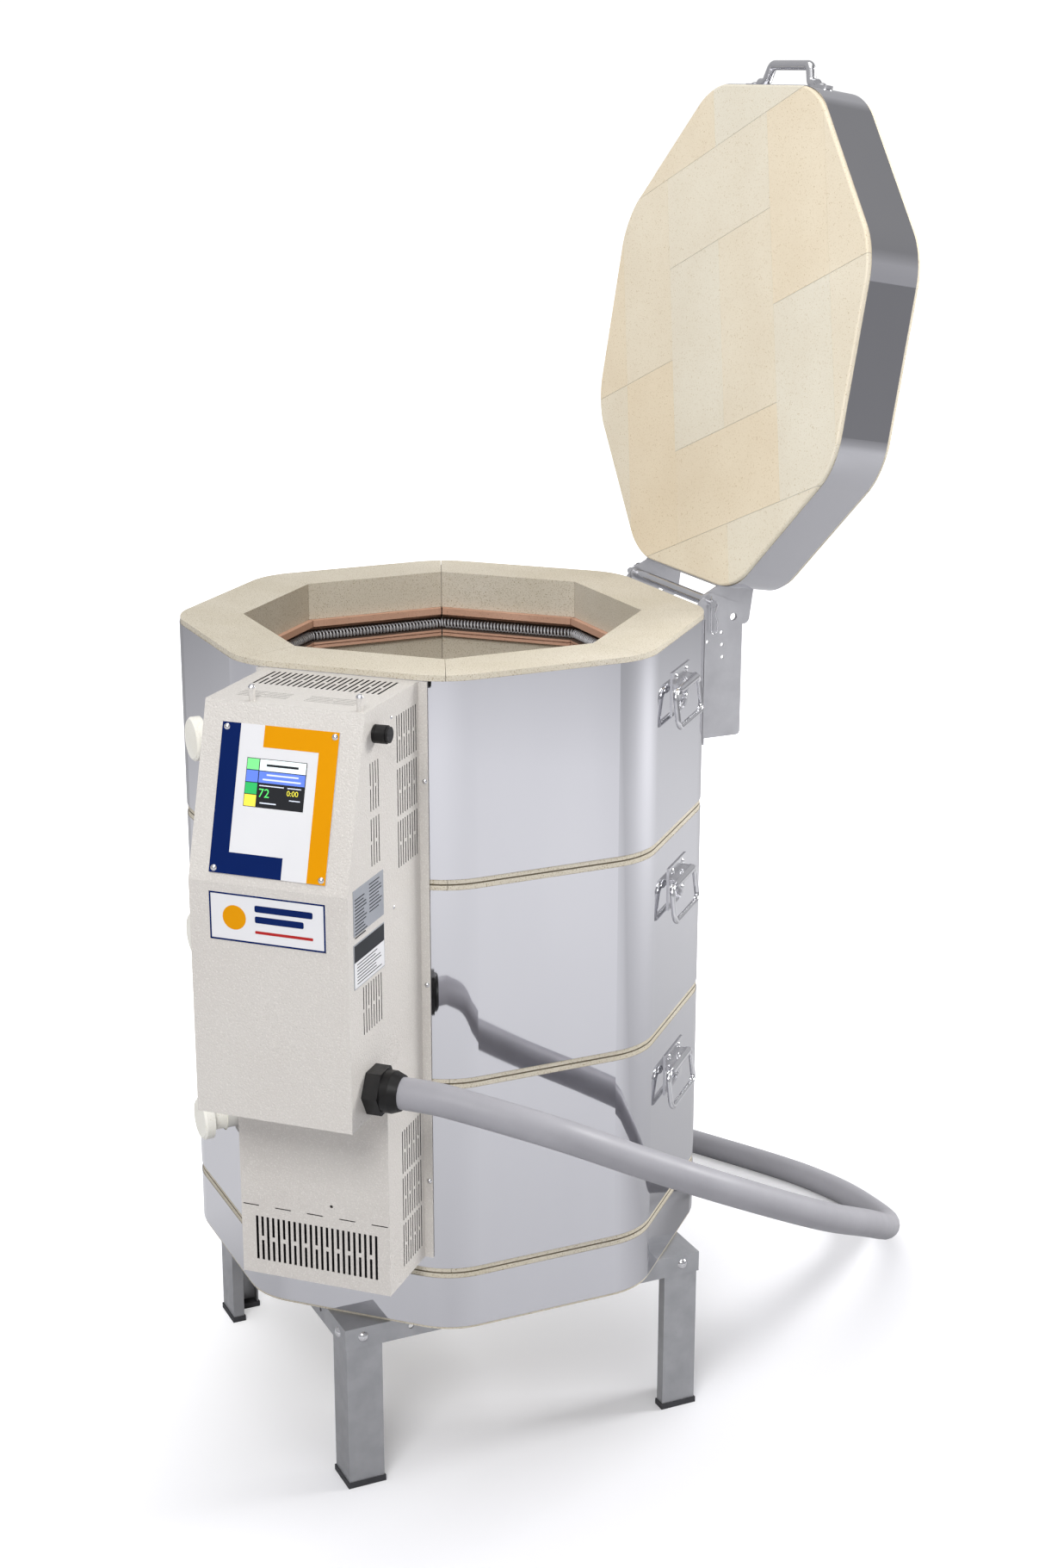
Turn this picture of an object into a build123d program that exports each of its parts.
from build123d import *
import os
from math import atan2, cos, hypot, pi, radians, sin, tan

os.makedirs("parts", exist_ok=True)

# Top-loading electric pottery kiln: three octagonal brick rings in stainless
# jackets, a brick floor and hinged lid, a control box on one side, and a low stand.
# Millimetres, +Z up. Designed about the kiln axis, then shifted so that the middle
# of the footprint is the origin. +Y points to the lid hinge.

# ---------------------------------------------------------------- driving sizes
RING_H = 228.6              # one brick ring, the standard nine inch brick
RINGS = 3
SLAB_T = 70.0               # floor and lid slabs
STAND_H = 203.2
JACKET_AP = 285.8           # outer face of the jackets, from the axis
SHEET = 0.8                 # stainless jacket sheet
CORNER_R = 83.0             # rounding of the eight jacket corners
CHAMBER_AP = 212.0          # inner face of the bricks, from the axis
PROUD = 6.0                 # brick standing past each jacket edge
JOINT = 0.5                 # joint between neighbouring bricks
FIT = 0.2                   # clearance between bricks and the parts set into them
ELEMENT_ROWS = (62.0, 167.0)   # element rows below the top of each ring

FLOOR_Z = STAND_H
RING_Z = FLOOR_Z + SLAB_T
RIM_Z = RING_Z + RINGS * RING_H
LID_GAP = 0.4               # closed lid above the rim

SIDE_CONTROL = -45.0        # side normals, degrees from +X
SIDE_HANDLES = (45.0, -135.0)
SIDE_PLUGS = -90.0

HINGE_Y = 307.0
HINGE_Z = RIM_Z - 1.0
LID_OPEN = 99.4             # rest position of the lid, degrees past closed
PIN_R = 4.0

nodes = {}


# ---------------------------------------------------------------- helpers
def block(x0, x1, y0, y1, z0, z1):
    """Box from its limits."""
    middle = Pos((x0 + x1) / 2, (y0 + y1) / 2, (z0 + z1) / 2)
    return middle * Box(x1 - x0, y1 - y0, z1 - z0)


def rod_x(radius, x0, x1, y, z):
    return Pos((x0 + x1) / 2, y, z) * Rot(0, 90, 0) * Cylinder(radius, x1 - x0)


def rod_y(radius, y0, y1, x, z):
    return Pos(x, (y0 + y1) / 2, z) * Rot(90, 0, 0) * Cylinder(radius, y1 - y0)


def rod_z(radius, z0, z1, x, y):
    return Pos(x, y, (z0 + z1) / 2) * Cylinder(radius, z1 - z0)


def dome_head(radius, height):
    """Domed screw head standing on z = 0."""
    sphere_r = (radius ** 2 + height ** 2) / (2 * height)
    ball = Pos(0, 0, height - sphere_r) * Sphere(sphere_r)
    return ball & (Pos(0, 0, height / 2) * Cylinder(radius, height))


def turned(angle, shape):
    """Carry a shape built on the +X side round to another side of the octagon."""
    return Rot(0, 0, angle) * shape


def octagon(apothem, corner_r=0.0):
    face = RegularPolygon(apothem, 8, major_radius=False, rotation=22.5)
    if corner_r > 0:
        face = fillet(face.vertices(), corner_r)
    return face


def octagon_prism(apothem, z0, z1, corner_r=0.0):
    return Pos(0, 0, z0) * extrude(octagon(apothem, corner_r), z1 - z0)


def octagon_shell(outer, wall, z0, z1, corner_r):
    """Thin octagonal band."""
    inside = octagon_prism(outer - wall, z0 - 1, z1 + 1, corner_r - wall)
    return octagon_prism(outer, z0, z1, corner_r) - inside


def wedge(gap, r0, r1, z0, z1):
    """One eighth of the octagon on the +X side, mitred, half a gap short at each end."""
    c = cos(radians(22.5))
    s = sin(radians(22.5))
    h = gap / 2
    points = [
        (r0 * c + h * s, r0 * s - h * c), (r1 * c + h * s, r1 * s - h * c),
        (r1 * c + h * s, h * c - r1 * s), (r0 * c + h * s, h * c - r0 * s),
    ]
    return Pos(0, 0, z0) * extrude(make_face(Polyline(*points, close=True)), z1 - z0)


def group(parts):
    solids = []
    for item in parts:
        solids.extend(item.solids())
    return Compound(children=solids)


def point_on_side(angle, d, l, z):
    a = radians(angle)
    return Vector(d * cos(a) - l * sin(a), d * sin(a) + l * cos(a), z)


def open_lid(shape):
    """Swing a shape drawn with the lid closed back to its rest position."""
    pivot = Pos(0, HINGE_Y, HINGE_Z)
    return pivot * Rot(-LID_OPEN, 0, 0) * Pos(0, -HINGE_Y, -HINGE_Z) * shape


# ---------------------------------------------------------------- stand
STAND_X = 233.0             # outer faces of the rails
STAND_Y = 226.0
RAIL_T = 2.0
RAIL_DROP = 25.0
RAIL_TOP_W = 42.0
LEG_W = 43.0
LEG_LIP = 14.0
LEG_T = 2.0
FOOT_H = 7.0
BOLT_IN = 22.0


def rail_frame():
    top = block(-STAND_X, STAND_X, -STAND_Y, STAND_Y, STAND_H - RAIL_T, STAND_H)
    top -= block(
        -STAND_X + RAIL_TOP_W, STAND_X - RAIL_TOP_W,
        -STAND_Y + RAIL_TOP_W, STAND_Y - RAIL_TOP_W, STAND_H - 5, STAND_H + 5,
    )
    skirt = block(-STAND_X, STAND_X, -STAND_Y, STAND_Y, STAND_H - RAIL_DROP, STAND_H - RAIL_T)
    skirt -= block(
        -STAND_X + RAIL_T, STAND_X - RAIL_T,
        -STAND_Y + RAIL_T, STAND_Y - RAIL_T, STAND_H - 40, STAND_H,
    )
    frame = top + skirt
    z = STAND_H - 12.0
    for x in (-STAND_X + 80, STAND_X - 80):
        frame -= rod_y(3.2, -STAND_Y - 5, STAND_Y + 5, x, z)
    for y in (-STAND_Y + 80, STAND_Y - 80):
        frame -= rod_x(3.2, -STAND_X - 5, STAND_X + 5, y, z)
    return frame


def corner_leg():
    """Lipped angle with its outer corner at the origin, flanges along -X and -Y."""
    z0 = 1.5
    z1 = STAND_H - RAIL_T
    leg = block(-LEG_W, 0, -LEG_T, 0, z0, z1)
    leg += block(-LEG_T, 0, -LEG_W, 0, z0, z1)
    leg += block(-LEG_W, -LEG_W + LEG_T, -LEG_LIP, 0, z0, z1)
    leg += block(-LEG_LIP, 0, -LEG_W, -LEG_W + LEG_T, z0, z1)
    return leg


def corner_foot():
    """Soft cap that wraps the bottom of a leg."""
    skin = 1.5
    foot = block(-LEG_W - skin, skin, -LEG_LIP - skin, skin, 0, FOOT_H)
    foot += block(-LEG_LIP - skin, skin, -LEG_W - skin, skin, 0, FOOT_H)
    return foot - corner_leg()


def four_corners(shape, x, y):
    placed = Pos(x, y, 0) * shape
    both = [placed, mirror(placed, about=Plane.YZ)]
    return both + [mirror(item, about=Plane.XZ) for item in both]


nodes["stand_rails"] = rail_frame()
nodes["stand_legs"] = group(four_corners(corner_leg(), STAND_X - RAIL_T, STAND_Y - RAIL_T))
nodes["leg_feet"] = group(four_corners(corner_foot(), STAND_X - RAIL_T, STAND_Y - RAIL_T))

bolts = []
for sx in (-1, 1):
    for sy in (-1, 1):
        head = Rot(-90, 0, 0) * dome_head(6.5, 4.0)
        if sy < 0:
            head = Rot(90, 0, 0) * dome_head(6.5, 4.0)
        bolts.append(Pos(sx * (STAND_X - BOLT_IN), sy * STAND_Y, STAND_H - 12) * head)
        head = Rot(0, 90 * sx, 0) * dome_head(6.5, 4.0)
        bolts.append(Pos(sx * STAND_X, sy * (STAND_Y - BOLT_IN), STAND_H - 12) * head)
nodes["stand_bolts"] = group(bolts)

# ---------------------------------------------------------------- brick slabs
BRICK_L = 228.6
BRICK_W = 114.3
PATTERN_TURN = -22.0        # laying direction of the slab bricks
GROOVE = 0.8


def slab_joints(z0, z1):
    """Thin slits that follow the joints between the bricks of a slab."""
    reach = 300.0
    half = GROOVE / 2
    cuts = []
    for u in (-BRICK_W, BRICK_W):
        cuts.append(block(u - half, u + half, -BRICK_L, BRICK_L, z0, z1))
    for u in (-BRICK_L, BRICK_L):
        cuts.append(block(u - half, u + half, -reach, reach, z0, z1))
    for v in (-BRICK_L, BRICK_L):
        cuts.append(block(-BRICK_L, BRICK_L, v - half, v + half, z0, z1))
    for v in (-BRICK_W, BRICK_W):
        cuts.append(block(-BRICK_W, BRICK_W, v - half, v + half, z0, z1))
    cuts.append(block(-reach, -BRICK_W, -half, half, z0, z1))
    cuts.append(block(BRICK_W, reach, -half, half, z0, z1))
    cuts.append(block(-half, half, -BRICK_W, BRICK_W, z0, z1))
    cuts.append(block(-half, half, BRICK_L, reach, z0, z1))
    cuts.append(block(-half, half, -reach, -BRICK_L, z0, z1))
    return [Rot(0, 0, PATTERN_TURN) * cut for cut in cuts]


def brick_slab(z0):
    z1 = z0 + SLAB_T
    slab = octagon_prism(JACKET_AP - SHEET - FIT, z0, z1, CORNER_R - SHEET)
    slab -= slab_joints(z0 - 1, z0 + GROOVE)
    slab -= slab_joints(z1 - GROOVE, z1 + 1)
    return slab


nodes["floor_slab"] = brick_slab(FLOOR_Z)
nodes["floor_band"] = octagon_shell(JACKET_AP, SHEET, FLOOR_Z + 3, RING_Z - PROUD, CORNER_R)

# ---------------------------------------------------------------- brick rings
CHANNEL_H = 35.0            # element holder, outside height
CHANNEL_BACK = 230.0        # back face of the holder, from the axis
CHANNEL_LIP = 205.5         # lips stand into the chamber
CHANNEL_WALL = 8.0
COIL_R = 6.0
COIL_AP = 214.0
TAIL_L = 30.0               # element tails either side of the panel centre line
TAIL_R = 2.0
TAIL_END = 302.0
BUSHING_R = 6.5
BUSHING_END = 296.0
THERMO_R = 4.0
PLUG_RING_Z = (112.2, 110.4, 110.0)    # spy holes above the bottom of each ring


def ring_base(index):
    """Bottom of a ring; ring 1 is the top one."""
    return RIM_Z - index * RING_H


def plug_z(index):
    return ring_base(index) + PLUG_RING_Z[index - 1]


def row_heights(index):
    top = ring_base(index) + RING_H
    return [top - drop for drop in ELEMENT_ROWS]


def coil_height(row):
    return row - CHANNEL_H / 2 + CHANNEL_WALL + COIL_R


PLUG_TIP_R = 14.0
PLUG_WALL_R = 17.0
PLUG_GAP = 0.35
WALL_IN = CHAMBER_AP
WALL_OUT = JACKET_AP


def plug_bore(z):
    """Tapered spy hole through one wall."""
    length = WALL_OUT - WALL_IN + 20
    slope = (PLUG_WALL_R - PLUG_TIP_R) / (WALL_OUT - WALL_IN)
    r_in = PLUG_TIP_R + PLUG_GAP - 10 * slope
    r_out = PLUG_WALL_R + PLUG_GAP + 10 * slope
    middle = (WALL_IN + WALL_OUT) / 2
    return Pos(middle, 0, z) * Rot(0, 90, 0) * Cone(r_in, r_out, length)


def ring_bricks(index):
    """Eight mitred bricks, grooved for the element holders."""
    z0 = ring_base(index)
    z1 = z0 + RING_H
    plain = wedge(JOINT, 190, 340, z0, z1)
    plain &= octagon_prism(JACKET_AP - SHEET - FIT, z0, z1, CORNER_R - SHEET)
    plain -= block(0, CHAMBER_AP, -200, 200, z0 - 1, z1 + 1)
    for row in row_heights(index):
        half = CHANNEL_H / 2 + FIT
        plain -= block(0, CHANNEL_BACK + FIT, -200, 200, row - half, row + half)
    bricks = []
    for k in range(8):
        angle = 45.0 * k - 180.0
        brick = plain
        if angle == SIDE_PLUGS:
            brick = plain - plug_bore(plug_z(index))
        if angle == SIDE_CONTROL:
            for row in row_heights(index):
                for l in (-TAIL_L, TAIL_L):
                    brick = brick - rod_x(BUSHING_R + FIT, 220, 300, l, coil_height(row))
            if index == 2:
                brick = brick - rod_x(THERMO_R + FIT, 200, 300, 0, z0 + RING_H / 2)
        bricks.append(turned(angle, brick))
    return bricks


def ring_jacket(index):
    z0 = ring_base(index)
    shell = octagon_shell(JACKET_AP, SHEET, z0 + PROUD, z0 + RING_H - PROUD, CORNER_R)
    for row in row_heights(index):
        for l in (-TAIL_L, TAIL_L):
            hole = rod_x(BUSHING_R + FIT, 270, 300, l, coil_height(row))
            shell -= turned(SIDE_CONTROL, hole)
    if index == 2:
        shell -= turned(SIDE_CONTROL, rod_x(THERMO_R + FIT, 270, 300, 0, z0 + RING_H / 2))
    hole = rod_x(PLUG_WALL_R + 1.2, 270, 300, 0, plug_z(index))
    shell -= turned(SIDE_PLUGS, hole)
    return shell


def holder_row(row):
    """Eight mitred channels: one top lip, a double bottom lip, open to the chamber."""
    low = row - CHANNEL_H / 2
    high = row + CHANNEL_H / 2
    channel = block(CHANNEL_LIP, CHANNEL_BACK, -120, 120, low, high)
    channel -= block(
        0, CHANNEL_BACK - CHANNEL_WALL, -120, 120, low + CHANNEL_WALL, high - CHANNEL_WALL
    )
    channel -= block(0, CHANNEL_LIP + 3.0, -120, 120, low + 3.4, low + 4.8)
    channel &= wedge(1.6, 190, 300, low - 1, high + 1)
    pieces = []
    for k in range(8):
        angle = 45.0 * k - 180.0
        piece = channel
        if angle == SIDE_CONTROL:
            for l in (-TAIL_L, TAIL_L):
                piece = piece - rod_x(TAIL_R + 1.0, 200, 240, l, coil_height(row))
        pieces.append(turned(angle, piece))
    return pieces


def heating_element(row):
    """Coil envelope laid round the chamber, with straight tails out through the wall."""
    z = coil_height(row)
    corner = COIL_AP / cos(radians(22.5))
    points = [point_on_side(SIDE_CONTROL, COIL_AP, -TAIL_L, z)]
    for k in range(8):
        a = radians(SIDE_CONTROL - 22.5 - 45 * k)
        points.append(Vector(corner * cos(a), corner * sin(a), z))
    points.append(point_on_side(SIDE_CONTROL, COIL_AP, TAIL_L, z))
    path = FilletPolyline(*points, radius=14)
    coil = sweep(Plane(origin=path @ 0, z_dir=path % 0) * Circle(COIL_R), path=path)
    for l in (-TAIL_L, TAIL_L):
        coil += turned(SIDE_CONTROL, rod_x(TAIL_R, COIL_AP, TAIL_END, l, z))
    return coil


for i in range(1, RINGS + 1):
    nodes[f"ring_bricks_{i}"] = group(ring_bricks(i))
    nodes[f"ring_jacket_{i}"] = ring_jacket(i)
    holders = []
    for row in row_heights(i):
        holders.extend(holder_row(row))
    nodes[f"element_holders_{i}"] = group(holders)
    nodes[f"heating_elements_{i}"] = group([heating_element(row) for row in row_heights(i)])

bushings = []
for i in range(1, RINGS + 1):
    for row in row_heights(i):
        for l in (-TAIL_L, TAIL_L):
            tube = rod_x(BUSHING_R, CHANNEL_BACK + 0.5, BUSHING_END, l, coil_height(row))
            tube -= rod_x(TAIL_R + FIT, CHANNEL_BACK - 1, BUSHING_END + 1, l, coil_height(row))
            bushings.append(turned(SIDE_CONTROL, tube))
nodes["terminal_bushings"] = group(bushings)

thermo_z = ring_base(2) + RING_H / 2
thermo = rod_x(THERMO_R, 190, 300, 0, thermo_z) + block(300, 318, -14, 14, thermo_z - 11, thermo_z + 11)
nodes["thermocouple"] = turned(SIDE_CONTROL, thermo)

# ---------------------------------------------------------------- spy hole plugs
PLUG_OUT = (21.0, 29.0, 29.0)   # how far each plug head stands off the jacket
PLUG_HEAD_R = 25.0
PLUG_HEAD_T = 12.0


def spy_plug(index):
    out = WALL_OUT + PLUG_OUT[index - 1]
    slope = (PLUG_WALL_R - PLUG_TIP_R) / (WALL_OUT - WALL_IN)
    neck_r = PLUG_WALL_R - 1.0
    outline = Polyline(
        (WALL_IN, 0), (WALL_IN, PLUG_TIP_R), (WALL_OUT, PLUG_WALL_R), (WALL_OUT + 0.6, neck_r),
        (out - PLUG_HEAD_T, neck_r), (out - PLUG_HEAD_T, PLUG_HEAD_R),
        (out - 2.5, PLUG_HEAD_R), (out, PLUG_HEAD_R - 2.5), (out, 0), close=True,
    )
    body = revolve(make_face(outline), Axis.X)
    return turned(SIDE_PLUGS, Pos(0, 0, plug_z(index)) * body)


for i in range(1, RINGS + 1):
    nodes[f"peep_plug_{i}"] = spy_plug(i)

# ---------------------------------------------------------------- ring handles
BAIL_WIRE_R = 3.2
BARREL_R = 5.2
BARREL_BORE = 3.25
BARREL_D = JACKET_AP + 8.0
BARREL_HALF = 33.0
BARREL_DROP = 59.0          # below the top of the ring
BAIL_HALF = 45.0
BAIL_REACH = 41.0
BAIL_BEND = 9.0
BAIL_TILT = 7.0             # the loop rests against the lower plate edge
PLATE_HALF = 34.0
PLATE_T = 1.5


def handle_base(top):
    z = top - BARREL_DROP
    plate = block(JACKET_AP, JACKET_AP + PLATE_T, -PLATE_HALF, PLATE_HALF, top - 90, top - 40)
    plate -= block(JACKET_AP - 1, JACKET_AP + 3, -9, 9, top - 82, top - 76)
    hood = block(JACKET_AP, BARREL_D, -PLATE_HALF + 3, PLATE_HALF - 3, z - 1.5, z + BARREL_R)
    barrel = rod_y(BARREL_R, -BARREL_HALF, BARREL_HALF, BARREL_D, z)
    base = plate + hood + barrel
    return base - rod_y(BARREL_BORE, -60, 60, BARREL_D, z)


def handle_rivets(top):
    heads = []
    for l, drop in ((-19.5, 47.0), (19.5, 47.0), (-20.0, 79.0), (20.0, 79.0)):
        spot = Pos(JACKET_AP + PLATE_T, l, top - drop) * Rot(0, 90, 0)
        heads.append(spot * dome_head(4.0, 2.0))
    return heads


def ring_bail(top):
    """Closed wire loop; its top run passes through the barrel."""
    half = FilletPolyline((0, 0, 0), (0, BAIL_HALF, 0), (0, BAIL_HALF, -BAIL_REACH),
                          (0, 0, -BAIL_REACH), radius=BAIL_BEND)
    arm = sweep(Plane(origin=half @ 0, z_dir=half % 0) * Circle(BAIL_WIRE_R), path=half)
    loop = arm + mirror(arm, about=Plane.XZ)
    loop = Rot(0, -BAIL_TILT, 0) * loop
    return Pos(BARREL_D, 0, top - BARREL_DROP) * loop


bases = []
rivets = []
count = 0
for angle in SIDE_HANDLES:
    for i in range(1, RINGS + 1):
        top = ring_base(i) + RING_H
        count += 1
        bases.append(turned(angle, handle_base(top)))
        rivets.extend(turned(angle, head) for head in handle_rivets(top))
        nodes[f"ring_bail_{count}"] = turned(angle, ring_bail(top))
nodes["handle_bases"] = group(bases)
nodes["handle_rivets"] = group(rivets)

# ---------------------------------------------------------------- lid
CLOSED_Z = RIM_Z + LID_GAP
lid_slab = brick_slab(CLOSED_Z)
nodes["lid_slab"] = open_lid(lid_slab)

band = octagon_shell(JACKET_AP, SHEET, CLOSED_Z + 5, CLOSED_Z + SLAB_T - 5, CORNER_R)
nodes["lid_band"] = open_lid(band)

BRACKET_T = 2.0
WING_LEFT_X = -105.0        # outer faces of the fixed wings
WING_RIGHT_X = 79.0
WING_GAP = 0.4
PIVOT_PAD = 11.0
LOCK_Y = 322.0              # locking hole in the lid wing, lid closed
LOCK_DZ = 35.7
LOCK_R = 4.5


def wing(outline, x0, x1):
    """Plate parallel to the YZ plane from an outline in (y, z)."""
    face = Plane.YZ * outline
    return Pos(x0, 0, 0) * extrude(face, x1 - x0)


def disc(y, z, r):
    return Pos(y, z) * Circle(r)


def hull(discs):
    edges = []
    for item in discs:
        edges.extend(item.edges())
    return make_hull(edges)


lid_wing = hull([
    disc(HINGE_Y, HINGE_Z, PIVOT_PAD), disc(322, RIM_Z + 50, 8),
    disc(288, RIM_Z + 56, 1), disc(288, RIM_Z + 8, 1),
])
lid_wing -= disc(HINGE_Y, HINGE_Z, PIN_R + 0.03)
lid_wing -= disc(LOCK_Y, HINGE_Z + LOCK_DZ, LOCK_R)
lid_left = WING_LEFT_X + BRACKET_T + WING_GAP
lid_right = WING_RIGHT_X - BRACKET_T - WING_GAP
bracket = wing(lid_wing, lid_left, lid_left + BRACKET_T)
bracket += wing(lid_wing, lid_right - BRACKET_T, lid_right)
bracket += block(lid_left, lid_right, JACKET_AP, JACKET_AP + BRACKET_T, RIM_Z + 7, RIM_Z + 57)
nodes["lid_bracket"] = open_lid(bracket)

HANDLE_Z = RIM_Z + 35.0
HANDLE_R = 5.6
TAB_T = 4.0
face_y = -JACKET_AP
foot_y = face_y - HANDLE_R
route = FilletPolyline(
    (-64, foot_y, HANDLE_Z), (-51, foot_y, HANDLE_Z), (-42, -312, HANDLE_Z),
    (42, -312, HANDLE_Z), (51, foot_y, HANDLE_Z), (64, foot_y, HANDLE_Z), radius=8,
)
bar = sweep(Plane(origin=route @ 0, z_dir=route % 0) * Circle(HANDLE_R), path=route)
for side in (-1, 1):
    tab = Pos(side * 73, face_y, HANDLE_Z) * Rot(90, 0, 0) * extrude(SlotOverall(36, 15), TAB_T)
    bar += tab
nodes["lid_handle"] = open_lid(bar)

screws = []
for x in (-75, 75):
    screws.append(Pos(x, face_y - TAB_T, HANDLE_Z) * Rot(90, 0, 0) * dome_head(5.5, 3.0))
for x in (-80, -14, 54):
    for dz in (20, 44):
        spot = Pos(x, JACKET_AP + BRACKET_T, RIM_Z + dz) * Rot(-90, 0, 0)
        screws.append(spot * dome_head(4.0, 2.2))
nodes["lid_screws"] = group([open_lid(item) for item in screws])

# ---------------------------------------------------------------- hinge, fixed half
fixed_wing = hull([
    disc(HINGE_Y, HINGE_Z, PIVOT_PAD), disc(346, RIM_Z - 12, 6), disc(347, RIM_Z - 162, 5),
    disc(287, RIM_Z - 166, 1), disc(287, RIM_Z - 10, 1),
])
fixed_wing -= disc(HINGE_Y, HINGE_Z, PIN_R)
fixed_wing -= disc(340, RIM_Z - 21.6, LOCK_R)
for y, drop in ((324, 39), (325, 54), (326, 69), (305, 49)):
    fixed_wing -= disc(y, RIM_Z - drop, 2.1)
FLANGE_W = 28.0


def fixed_bracket(x_outer, inward):
    """Upright wing with a flange screwed to the top jacket."""
    x_inner = x_outer + inward * BRACKET_T
    plate = wing(fixed_wing, min(x_outer, x_inner), max(x_outer, x_inner))
    x_far = x_outer - inward * FLANGE_W
    lo = min(x_far, x_inner)
    hi = max(x_far, x_inner)
    return plate + block(lo, hi, JACKET_AP, JACKET_AP + BRACKET_T, RIM_Z - 166, RIM_Z - 14)


nodes["hinge_bracket_left"] = fixed_bracket(WING_LEFT_X, 1)
nodes["hinge_bracket_right"] = fixed_bracket(WING_RIGHT_X, -1)

screws = []
for x in (WING_LEFT_X - 14, WING_RIGHT_X + 14):
    for drop in (30, 90, 150):
        spot = Pos(x, JACKET_AP + BRACKET_T, RIM_Z - drop) * Rot(-90, 0, 0)
        screws.append(spot * dome_head(4.5, 2.4))
nodes["hinge_screws"] = group(screws)

ROD_X0 = -125.0
ROD_X1 = 89.0
CLIP_R = 1.1
CLIP_HOLE_R = 1.7
CLIP_RIGHT_X = 84.0
CLIP_LEFT_X = -120.0
hinge_rod = rod_x(PIN_R, ROD_X0, ROD_X1, HINGE_Y, HINGE_Z)
for x in (CLIP_LEFT_X, CLIP_RIGHT_X):
    hinge_rod -= rod_z(CLIP_HOLE_R, HINGE_Z - 8, HINGE_Z + 8, x, HINGE_Y)
nodes["hinge_rod"] = hinge_rod

spacer = rod_x(6.5, lid_left + BRACKET_T + 0.4, lid_right - BRACKET_T - 0.4, HINGE_Y, HINGE_Z)
nodes["hinge_spacer"] = spacer - rod_x(PIN_R, -200, 200, HINGE_Y, HINGE_Z)

ring_y = HINGE_Y + 9.0
nodes["ring_clip"] = Pos(CLIP_LEFT_X, ring_y, HINGE_Z) * Rot(0, 90, 0) * Torus(9.0, CLIP_R)

clip_points = [
    (CLIP_RIGHT_X, HINGE_Y, HINGE_Z + 8), (CLIP_RIGHT_X, HINGE_Y, HINGE_Z - 38),
    (CLIP_RIGHT_X, HINGE_Y + 8, HINGE_Z - 38), (CLIP_RIGHT_X, HINGE_Y + 8, HINGE_Z - 22),
    (CLIP_RIGHT_X, HINGE_Y + 4.6, HINGE_Z - 13), (CLIP_RIGHT_X, HINGE_Y + 8, HINGE_Z - 2),
]
clip_path = FilletPolyline(*clip_points, radius=3.5)
nodes["hitch_clip"] = sweep(
    Plane(origin=clip_path @ 0, z_dir=clip_path % 0) * Circle(CLIP_R), path=clip_path
)

# ---------------------------------------------------------------- control side
# Drawn on the +X side in (d, l, z): distance from the axis, along the side, height.
BOX_HALF = 87.8
BOX_TOP = RIM_Z - 6.7
BOX_FRONT = 384.3
BOX_FRONT_TOP = 371.0
BOX_BOTTOM = RIM_Z - 666.0
FRONT_TOP = 421.9
FRONT = 474.1
KINK_Z = RIM_Z - 182.6
HOUSING_BOTTOM = RIM_Z - 436.8
SHELL = 1.2
SEAM_Z = BOX_TOP - 300.0
FLANGE_OUT = 10.0

SLOPE = atan2(FRONT - FRONT_TOP, BOX_TOP - KINK_Z)
slope_plane = Plane(
    origin=(FRONT_TOP, 0, BOX_TOP), x_dir=(0, 1, 0), z_dir=(cos(SLOPE), 0, sin(SLOPE))
)


def profile_block(points, half):
    """Side outline in (d, z), drawn across the width."""
    face = Plane.XZ * make_face(Polyline(*points, close=True))
    return Pos(0, half, 0) * extrude(face, 2 * half)


def vent(count, pitch, width, length, depth, bridge=4.0):
    """Row of slots along X in the XY plane, cut along Z; every second one is bridged."""
    cuts = []
    for k in range(count):
        x = (k - (count - 1) / 2) * pitch
        if k % 2 == 0:
            cuts.append(Pos(x, 0, 0) * Box(width, length, depth))
        else:
            part = (length - bridge) / 2
            for side in (-1, 1):
                cuts.append(Pos(x, side * (part + bridge) / 2, 0) * Box(width, part, depth))
    return cuts


def on_side_wall(d, l, z, cuts):
    """Vent on a side wall: slots upright, spread along d."""
    spot = Pos(d, l, z) * Rot(90, 0, 0)
    return [spot * cut for cut in cuts]


def on_front_wall(d, l, z, cuts):
    spot = Plane(origin=(d, l, z), x_dir=(0, 1, 0), z_dir=(1, 0, 0))
    return [spot * cut for cut in cuts]


cover_outline = [
    (JACKET_AP, BOX_TOP), (BOX_FRONT_TOP, BOX_TOP), (BOX_FRONT, SEAM_Z),
    (BOX_FRONT, BOX_BOTTOM), (JACKET_AP, BOX_BOTTOM),
]
cover_inside = [
    (JACKET_AP - 1, BOX_TOP - SHELL), (BOX_FRONT_TOP - SHELL, BOX_TOP - SHELL),
    (BOX_FRONT - SHELL, SEAM_Z), (BOX_FRONT - SHELL, BOX_BOTTOM + SHELL),
    (JACKET_AP - 1, BOX_BOTTOM + SHELL),
]
cover = profile_block(cover_outline, BOX_HALF)
cover -= profile_block(cover_inside, BOX_HALF - SHELL)
for side in (-1, 1):
    lo = min(side * (BOX_HALF - 0.2), side * (BOX_HALF + FLANGE_OUT))
    hi = max(side * (BOX_HALF - 0.2), side * (BOX_HALF + FLANGE_OUT))
    cover += block(JACKET_AP, JACKET_AP + SHELL, lo, hi, BOX_BOTTOM, BOX_TOP)

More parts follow.
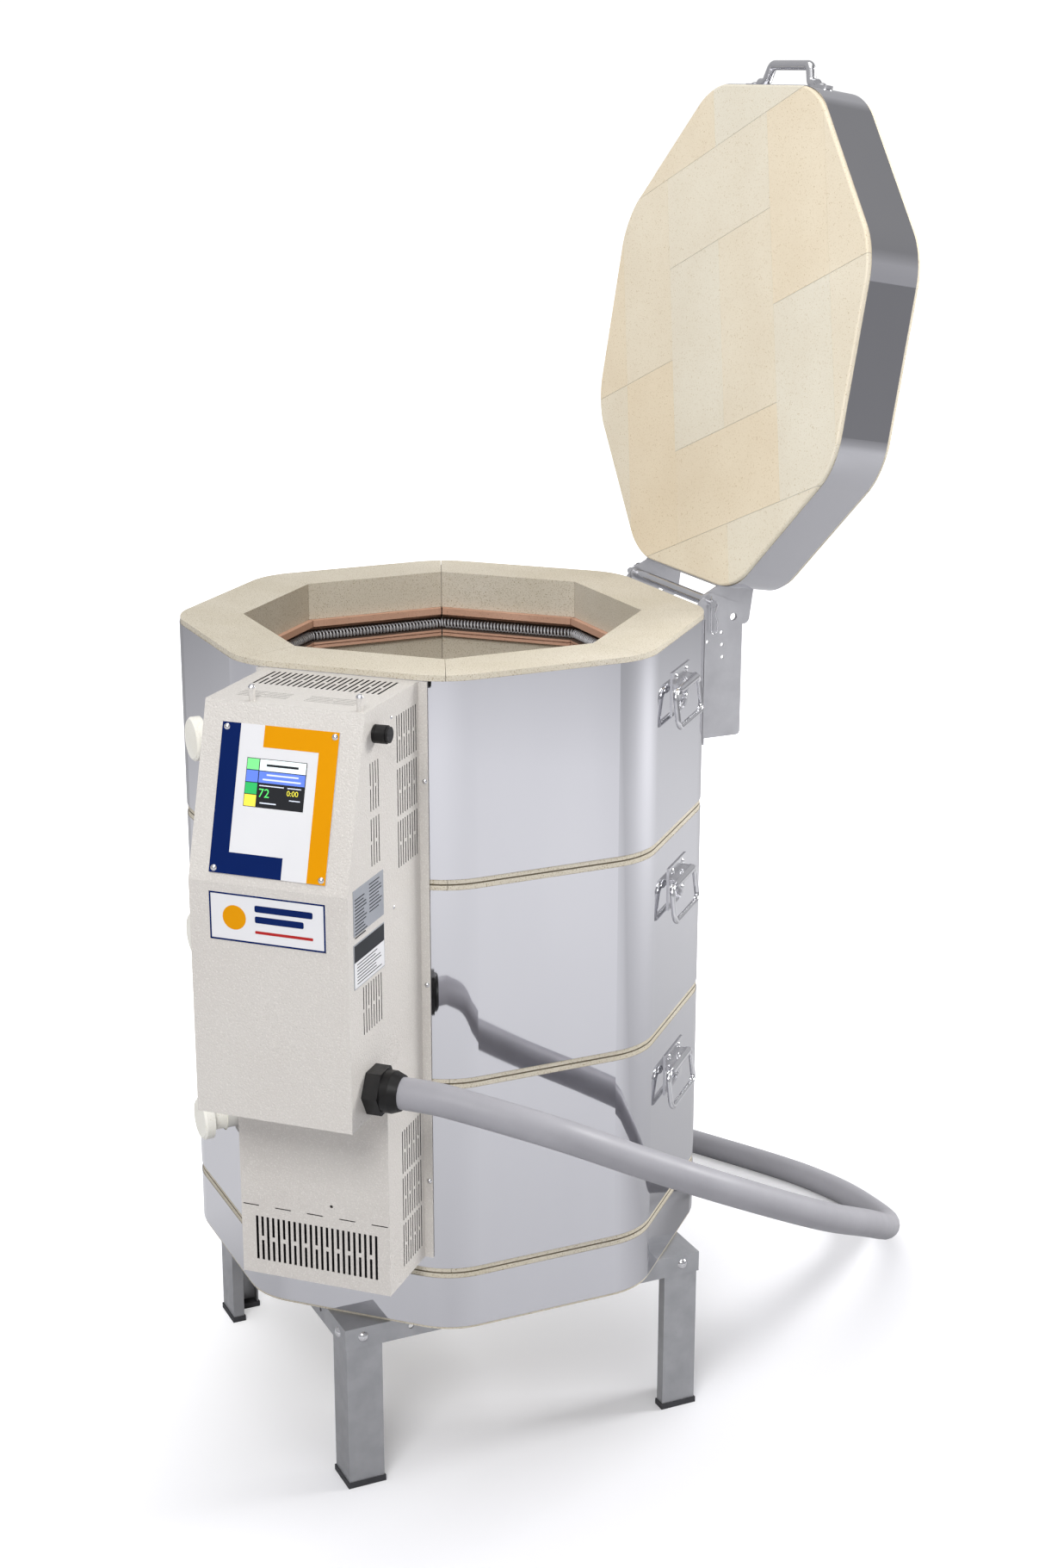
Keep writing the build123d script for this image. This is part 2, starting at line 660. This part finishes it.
cuts = on_front_wall(BOX_FRONT, 1.2, RIM_Z - 623, vent(23, 6.42, 2.9, 52, 8, 5))
for k in range(5):
    l0 = -85.5 + 38.1 * k
    cuts.append(block(BOX_FRONT - 4, BOX_FRONT + 4, l0, l0 + 19, RIM_Z - 585, RIM_Z - 583.8))
cuts.append(rod_x(1.8, BOX_FRONT - 4, BOX_FRONT + 4, 20, RIM_Z - 571))
for side in (-1, 1):
    for drop in (54, 111, 167):
        cuts += on_side_wall(319, side * BOX_HALF, RIM_Z - drop, vent(9, 6.2, 2.2, 50, 8, 3.5))
    for drop in (514, 569, 624):
        cuts += on_side_wall(321, side * BOX_HALF, RIM_Z - drop, vent(9, 6.2, 2.2, 50, 8, 3.5))
top_vent = vent(23, 6.35, 2.6, 52, 8, 4)
cuts += [Pos(324, 0, BOX_TOP) * Rot(0, 0, 90) * cut for cut in top_vent]
cover -= cuts
WIRE_WAY = block(BOX_FRONT_TOP - 20, BOX_FRONT + 20, -45, 45, RIM_Z - 420, RIM_Z - 340)
cover -= WIRE_WAY
nodes["element_cover_box"] = turned(SIDE_CONTROL, cover)

housing_outline = [
    (BOX_FRONT_TOP, BOX_TOP), (FRONT_TOP, BOX_TOP), (FRONT, KINK_Z), (FRONT, HOUSING_BOTTOM),
    (BOX_FRONT, HOUSING_BOTTOM), (BOX_FRONT, SEAM_Z),
]
inset_top = FRONT_TOP - SHELL / cos(SLOPE)
housing_inside = [
    (BOX_FRONT_TOP - 3, BOX_TOP - SHELL), (inset_top, BOX_TOP - SHELL),
    (FRONT - SHELL, KINK_Z), (FRONT - SHELL, HOUSING_BOTTOM + SHELL),
    (BOX_FRONT - 3, HOUSING_BOTTOM + SHELL), (BOX_FRONT - 3, SEAM_Z),
]
housing = profile_block(housing_outline, BOX_HALF)
housing -= profile_block(housing_inside, BOX_HALF - SHELL)

GLAND_D = 425.0
GLAND_Z = RIM_Z - 406.0
FUSE_D = 400.0
FUSE_Z = RIM_Z - 33.0
cuts = []
for side in (-1, 1):
    for drop in (86, 144):
        cuts += on_side_wall(403, side * BOX_HALF, RIM_Z - drop, vent(4, 6.4, 2.0, 50, 8, 3.5))
    cuts += on_side_wall(417, side * BOX_HALF, RIM_Z - 315, vent(8, 6.4, 2.0, 52, 8, 3.5))
for l in (-37.5, 38.0):
    thin = vent(5, 4.6, 1.0, 56, 8, 4)
    cuts += [Pos(389, l, BOX_TOP) * cut for cut in thin]
cuts.append(rod_y(13.0, BOX_HALF - 5, BOX_HALF + 5, GLAND_D, GLAND_Z))
cuts.append(rod_y(6.5, BOX_HALF - 5, BOX_HALF + 5, FUSE_D, FUSE_Z))
screen_hole = slope_plane * Pos(-1, -79.5, 0) * Box(58, 41, 10)
cuts.append(screen_hole)
housing -= cuts
nodes["control_housing"] = turned(SIDE_CONTROL, housing)

PLATE_W = 128.5
PLATE_H = 152.0
PLATE_TOP = 21.6
PANEL_T = 1.8
SCREEN_W = 66.0
SCREEN_H = 49.0
plate_mid = -(PLATE_TOP + PLATE_H / 2)
plate = slope_plane * Pos(-0.7, plate_mid, PANEL_T / 2) * Box(PLATE_W, PLATE_H, PANEL_T)
plate -= slope_plane * Pos(-1, -79.5, 0) * Box(SCREEN_W, SCREEN_H, 10)
nodes["control_plate"] = turned(SIDE_CONTROL, plate)

screen = slope_plane * Pos(-1, -79.5, 1.0) * Box(SCREEN_W, SCREEN_H, 2.0)
nodes["touchscreen"] = turned(SIDE_CONTROL, screen)

screws = []
for l in (-60.0, 58.6):
    for down in (26.5, 169.0):
        screws.append(slope_plane * Pos(l, -down, PANEL_T) * dome_head(3.6, 2.2))
nodes["control_plate_screws"] = group([turned(SIDE_CONTROL, item) for item in screws])

screws = []
for side in (-1, 1):
    for drop in (114, 342, 573):
        spot = Pos(JACKET_AP + SHELL, side * 94.0, RIM_Z - drop) * Rot(0, 90, 0)
        screws.append(spot * dome_head(3.0, 2.0))
    for d, drop in ((358, 27), (359, 230)):
        spot = Pos(d, side * BOX_HALF, RIM_Z - drop) * Rot(-90 * side, 0, 0)
        screws.append(spot * dome_head(2.2, 1.2))
nodes["cover_screws"] = group([turned(SIDE_CONTROL, item) for item in screws])

posts = []
for l in (-38.5, 79.5):
    post = rod_z(3.4, BOX_TOP, BOX_TOP + 14, 416, l)
    post += Pos(416, l, BOX_TOP + 14) * dome_head(3.9, 3.4)
    posts.append(turned(SIDE_CONTROL, post))
nodes["thumb_screws"] = group(posts)

FUSE_R = 6.5
CAP_R = 9.5
CAP_H = 17.0
holder = rod_y(FUSE_R, BOX_HALF - 30, BOX_HALF + 5, FUSE_D, FUSE_Z)
holder += rod_y(CAP_R, BOX_HALF, BOX_HALF + 2.5, FUSE_D, FUSE_Z)
holder -= rod_y(3.4, BOX_HALF - 26, BOX_HALF + 6, FUSE_D, FUSE_Z)
nodes["fuse_holder"] = turned(SIDE_CONTROL, holder)
cap_l = BOX_HALF + 2.8
cap = rod_y(CAP_R, cap_l, BOX_HALF + CAP_H - 3, FUSE_D, FUSE_Z)
cap += rod_y(CAP_R - 1.2, BOX_HALF + CAP_H - 3, BOX_HALF + CAP_H, FUSE_D, FUSE_Z)
cap -= rod_y(FUSE_R + 0.35, cap_l - 1, BOX_HALF + 5.4, FUSE_D, FUSE_Z)
cap += rod_y(3.0, BOX_HALF - 20, BOX_HALF + CAP_H - 4, FUSE_D, FUSE_Z)
nodes["fuse_cap"] = turned(SIDE_CONTROL, cap)

sign = block(FRONT, FRONT + 0.8, -64.7, 63.7, RIM_Z - 243, RIM_Z - 192)
nodes["sign_plate"] = turned(SIDE_CONTROL, sign)
rating = block(386, 461, BOX_HALF, BOX_HALF + 0.5, RIM_Z - 228.5, RIM_Z - 180)
caution = block(386, 462, BOX_HALF, BOX_HALF + 0.5, RIM_Z - 284.5, RIM_Z - 237)
nodes["rating_plates"] = group([turned(SIDE_CONTROL, item) for item in (rating, caution)])

# Parts inside the housing, behind the front panel.
relays = []
for k in (-1, 0, 1):
    case = block(BOX_FRONT + 2, BOX_FRONT + 40, 52 * k - 21, 52 * k + 21, RIM_Z - 300, RIM_Z - 245)
    case += block(BOX_FRONT, BOX_FRONT + 2, 52 * k - 24, 52 * k + 24, RIM_Z - 304, RIM_Z - 241)
    relays.append(turned(SIDE_CONTROL, case))
nodes["relays"] = group(relays)
core = block(BOX_FRONT, BOX_FRONT + 34, -74, -30, RIM_Z - 230, RIM_Z - 190)
core += block(BOX_FRONT, BOX_FRONT + 44, -68, -36, RIM_Z - 224, RIM_Z - 196)
nodes["transformer"] = turned(SIDE_CONTROL, core)
base_block = block(BOX_FRONT, BOX_FRONT + 22, -60, 20, RIM_Z - 335, RIM_Z - 312)
for k in range(4):
    base_block -= rod_x(5.0, BOX_FRONT + 14, BOX_FRONT + 30, -50 + 20 * k, RIM_Z - 323.5)
nodes["terminal_block"] = turned(SIDE_CONTROL, base_block)

# ---------------------------------------------------------------- supply cord
CORD_R = 17.0
GLAND_FLAT = 46.0
GLAND_LEN = 35.0
hexagon = RegularPolygon(GLAND_FLAT / 2, 6, major_radius=False)
nut = extrude(hexagon, 17)
taper = Pos(0, 0, 17) * extrude(Circle(22.5), 9)
throat = Pos(0, 0, 30.5) * Cone(22.5, 19.0, 9)
neck = Pos(0, 0, -9) * Cylinder(13.0, 18)
gland = nut + taper + throat + neck
gland_spot = Pos(GLAND_D, BOX_HALF, GLAND_Z) * Rot(-90, 0, 0)
nodes["cord_gland"] = turned(SIDE_CONTROL, gland_spot * gland)

exit_point = point_on_side(SIDE_CONTROL, GLAND_D, BOX_HALF + GLAND_LEN, GLAND_Z)
print("cord exit", exit_point)
FLOOR_CORD = CORD_R + 0.3

# Where the cord passes as it goes round the kiln: degrees round the axis from +X,
# distance from the axis, height. It sags past the handles, swings wide behind the
# kiln to reach the floor, and lies there in a curve that turns in at the plug.
CORD_STATIONS = [
    (-10, 480, 520),
    (5, 455, 450),
    (20, 460, 385),
    (40, 480, 295),
    (60, 515, 205),
    (80, 590, 100),
    (94, 670, 30),
    (105, 690, FLOOR_CORD),
    (120, 680, FLOOR_CORD),
    (134, 690, FLOOR_CORD),
    (146, 655, FLOOR_CORD),
]
STRAIGHT = 25.0
STATION_STEPS = 4


def cord_route():
    """Smooth run of points through the stations, never below the floor."""
    stops = [exit_point, exit_point + Vector(STRAIGHT, STRAIGHT, 0)]
    for angle, distance, height in CORD_STATIONS:
        turn = radians(angle)
        stops.append(Vector(distance * cos(turn), distance * sin(turn), height))
    past = stops + [stops[-1] * 2 - stops[-2]]
    points = [stops[0]]
    for first, a, b, last in zip(past, past[1:], past[2:], past[3:]):
        leave = (b - first) / 2
        arrive = (last - a) / 2
        for step in range(STATION_STEPS):
            t = step / STATION_STEPS
            here = (
                a * (1 - 3 * t ** 2 + 2 * t ** 3) + b * (3 * t ** 2 - 2 * t ** 3)
                + leave * (t - 2 * t ** 2 + t ** 3) + arrive * (t ** 3 - t ** 2)
            )
            points.append(Vector(here.X, here.Y, max(here.Z, FLOOR_CORD)))
    points.append(stops[-1])
    return points


route = cord_route()


def bend_radii(points, share=0.45):
    """Largest bend that fits each corner of the route."""
    radii = []
    for a, b, c in zip(points, points[1:], points[2:]):
        before = b - a
        after = c - b
        turn = radians(before.get_angle(after))
        run = min(before.length, after.length)
        radii.append(share * run / tan(turn / 2))
    return radii


def cord_tube(points, radius):
    radii = bend_radii(points)
    path = FilletPolyline(*points, radius=radii)
    print("bend radii", [round(value) for value in radii])
    print("cord length", round(path.length, 1))
    section = Plane(origin=path @ 0, z_dir=path % 0) * Circle(radius)
    return sweep(section, path=path), path


cord, cord_path = cord_tube(route, CORD_R)
print("cord volume ratio", round(cord.volume / (pi * CORD_R ** 2 * cord_path.length), 4))
nodes["supply_cord"] = cord

# Four-blade plug lying on the floor at the end of the cord.
PLUG_R = 31.0
PLUG_L = 62.0
end = cord_path @ 1
heading = cord_path % 1
plug_axis = Plane(origin=(end.X, end.Y, PLUG_R + 0.3), z_dir=(heading.X, heading.Y, 0))
shell = plug_axis * Pos(0, 0, 0) * extrude(Circle(CORD_R + 5), 18)
shell += plug_axis * Pos(0, 0, 18) * extrude(Circle(PLUG_R), PLUG_L - 18)
for turn in (0, 90, 180, 270):
    blade = Rot(0, 0, turn) * Pos(14, 0, PLUG_L + 10) * Box(2.0, 11, 20)
    shell += plug_axis * blade
nodes["plug"] = shell

# ---------------------------------------------------------------- place and export
low = Vector(1e9, 1e9, 1e9)
high = Vector(-1e9, -1e9, -1e9)
for name, shape in nodes.items():
    if name in ("supply_cord", "plug"):
        continue
    box = shape.bounding_box()
    low = Vector(min(low.X, box.min.X), min(low.Y, box.min.Y), min(low.Z, box.min.Z))
    high = Vector(max(high.X, box.max.X), max(high.Y, box.max.Y), max(high.Z, box.max.Z))
shift = Vector(-(low.X + high.X) / 2, -(low.Y + high.Y) / 2, 0)
print("box", low, high)
print("shift", shift)
print("nodes", len(nodes))
for name, shape in nodes.items():
    placed = Pos(shift.X, shift.Y, 0) * shape
    export_step(placed, f"parts/{name}.step")
